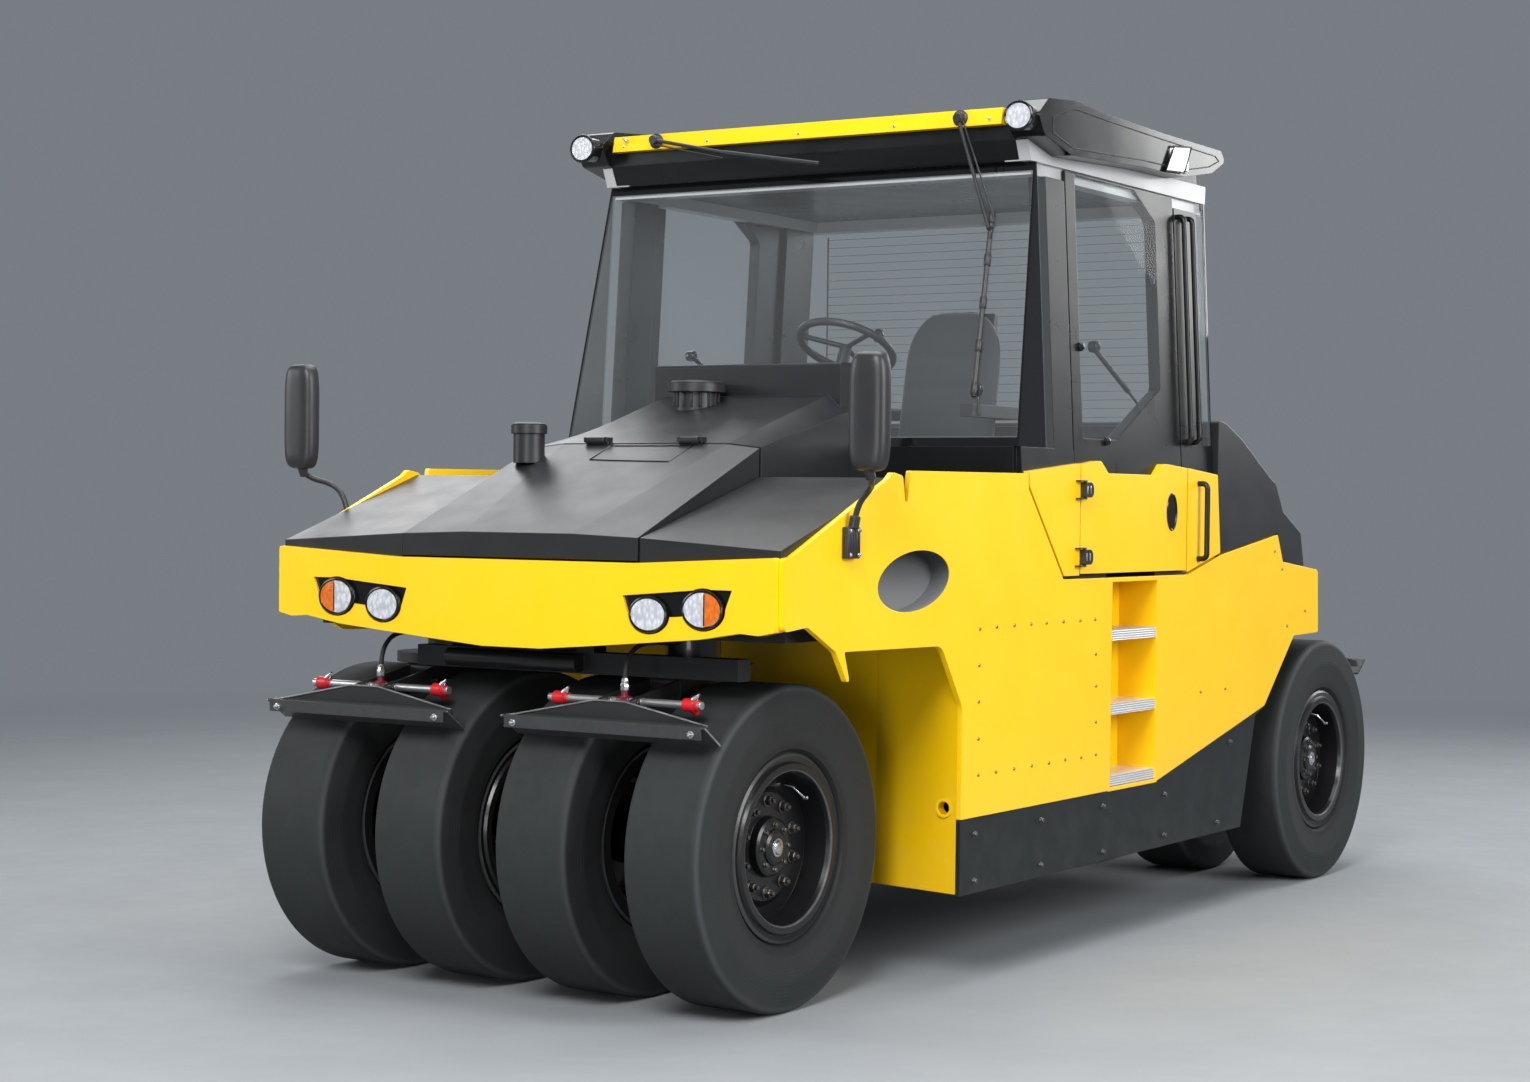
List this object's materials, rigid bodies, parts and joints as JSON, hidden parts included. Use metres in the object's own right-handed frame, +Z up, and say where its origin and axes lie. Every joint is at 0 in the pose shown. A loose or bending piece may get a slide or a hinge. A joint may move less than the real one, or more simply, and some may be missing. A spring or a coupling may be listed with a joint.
{
  "type": "pneumatic tyre road roller",
  "caption": "Ride-on road roller with staggered rows of smooth rubber tyres, steered front forks, water-spray scrapers, glazed cab with doors and sloping hoods.",
  "frame": {"origin": "on the ground under the middle of the machine, half way between the axles", "axes": "+X is the machine's left side, -Y its front, +Z up; wheels turn about X"},
  "size_m": [2.496, 4.934, 3.1106],
  "materials": {
    "body_yellow": "satin paint",
    "frame_black": "satin paint",
    "hood_grey": "satin",
    "skirt_grey": "satin paint",
    "tyre_rubber": "matte",
    "rim_black": "satin paint",
    "nozzle_red": "satin",
    "hose_rubber": "matte",
    "tread_aluminium": "ribbed",
    "lamp_housing": "gloss",
    "lamp_lens": "clear",
    "cap_black": "satin",
    "engine_iron": "cast",
    "cab_black": "satin paint",
    "frame_grey": "satin paint",
    "cab_glass": "tinted",
    "cushion_fabric": "woven"
  },
  "bodies": {
    "chassis": {"rear_scrapers": "frame_black", "wipers": "cap_black", "grab_rails": "frame_black", "roof_frame": "frame_grey", "main_frame": "frame_black", "side_tanks": "frame_black", "rear_body": "frame_black", "steering_beam": "frame_black", "arch_wall": "body_yellow", "left_side_panel": "body_yellow", "right_side_panel": "body_yellow", "step_treads": "tread_aluminium", "side_skirts": "skirt_grey", "front_bumper": "body_yellow", "headlamp_housings": "lamp_housing", "lamps": "lamp_lens", "hood_wings": "hood_grey", "rear_cowl": "hood_grey", "cowl_cap": "cap_black", "engine_block": "engine_iron", "cab_side_panels": "body_yellow", "cab_frame": "cab_black", "cab_glass": "cab_glass", "roof": "cab_black", "roof_strip": "body_yellow", "roof_visors": "cap_black", "rear_hood": "hood_grey", "rear_panel": "body_yellow", "mirrors": "cap_black", "driver_chair": "cap_black", "chair_cushions": "cushion_fabric", "console": "cap_black", "steering_wheel": "cap_black"},
    "front_left_fork": {"front_left_fork": "frame_black", "front_left_nozzles": "nozzle_red", "front_left_hose": "hose_rubber"},
    "front_right_fork": {"front_right_fork": "frame_black", "front_right_nozzles": "nozzle_red", "front_right_hose": "hose_rubber"},
    "front_left_wheels": {"front_left_tyres": "tyre_rubber", "front_left_rims": "rim_black", "front_left_axle": "frame_black"},
    "front_right_wheels": {"front_right_tyres": "tyre_rubber", "front_right_rims": "rim_black", "front_right_axle": "frame_black"},
    "rear_left_wheels": {"rear_left_tyres": "tyre_rubber", "rear_left_rims": "rim_black", "rear_left_axle": "frame_black"},
    "rear_right_wheels": {"rear_right_tyres": "tyre_rubber", "rear_right_rims": "rim_black", "rear_right_axle": "frame_black"},
    "left_door": {"left_door_panel": "body_yellow", "left_door_frame": "cab_black", "left_door_glass": "cab_glass"},
    "right_door": {"right_door_panel": "body_yellow", "right_door_frame": "cab_black", "right_door_glass": "cab_glass"},
    "hood": {"hood_lid": "hood_grey", "air_cleaner_cap": "cap_black"}
  },
  "joints": [
    {"name": "front_left_steer", "type": "hinge", "parent": "chassis", "child": "front_left_fork", "pos_m": [0.3855, -1.937, 1.15], "axis": [0, 0, 1], "range_deg": [-30, 30]},
    {"name": "front_left_spin", "type": "hinge", "parent": "front_left_fork", "child": "front_left_wheels", "pos_m": [0.3855, -1.937, 0.53], "axis": [1, 0, 0], "continuous": true},
    {"name": "rear_left_spin", "type": "hinge", "parent": "chassis", "child": "rear_left_wheels", "pos_m": [0.6425, 1.937, 0.53], "axis": [1, 0, 0], "continuous": true},
    {"name": "front_right_steer", "type": "hinge", "parent": "chassis", "child": "front_right_fork", "pos_m": [-0.6425, -1.937, 1.15], "axis": [0, 0, 1], "range_deg": [-30, 30]},
    {"name": "front_right_spin", "type": "hinge", "parent": "front_right_fork", "child": "front_right_wheels", "pos_m": [-0.6425, -1.937, 0.53], "axis": [1, 0, 0], "continuous": true},
    {"name": "rear_right_spin", "type": "hinge", "parent": "chassis", "child": "rear_right_wheels", "pos_m": [-0.3855, 1.937, 0.53], "axis": [1, 0, 0], "continuous": true},
    {"name": "left_door_hinge", "type": "hinge", "parent": "chassis", "child": "left_door", "pos_m": [1.0535, -0.44, 1.6], "axis": [0, 0, -1], "range_deg": [0, 90]},
    {"name": "right_door_hinge", "type": "hinge", "parent": "chassis", "child": "right_door", "pos_m": [-1.0535, -0.44, 1.6], "axis": [0, 0, 1], "range_deg": [0, 90]},
    {"name": "hood_hinge", "type": "hinge", "parent": "chassis", "child": "hood", "pos_m": [0, -1.712, 1.85], "axis": [-1, 0, 0], "range_deg": [0, 50]}
  ],
  "couplings": [
    {"joint": "front_right_steer", "follows": "front_left_steer", "ratio": 1}
  ]
}
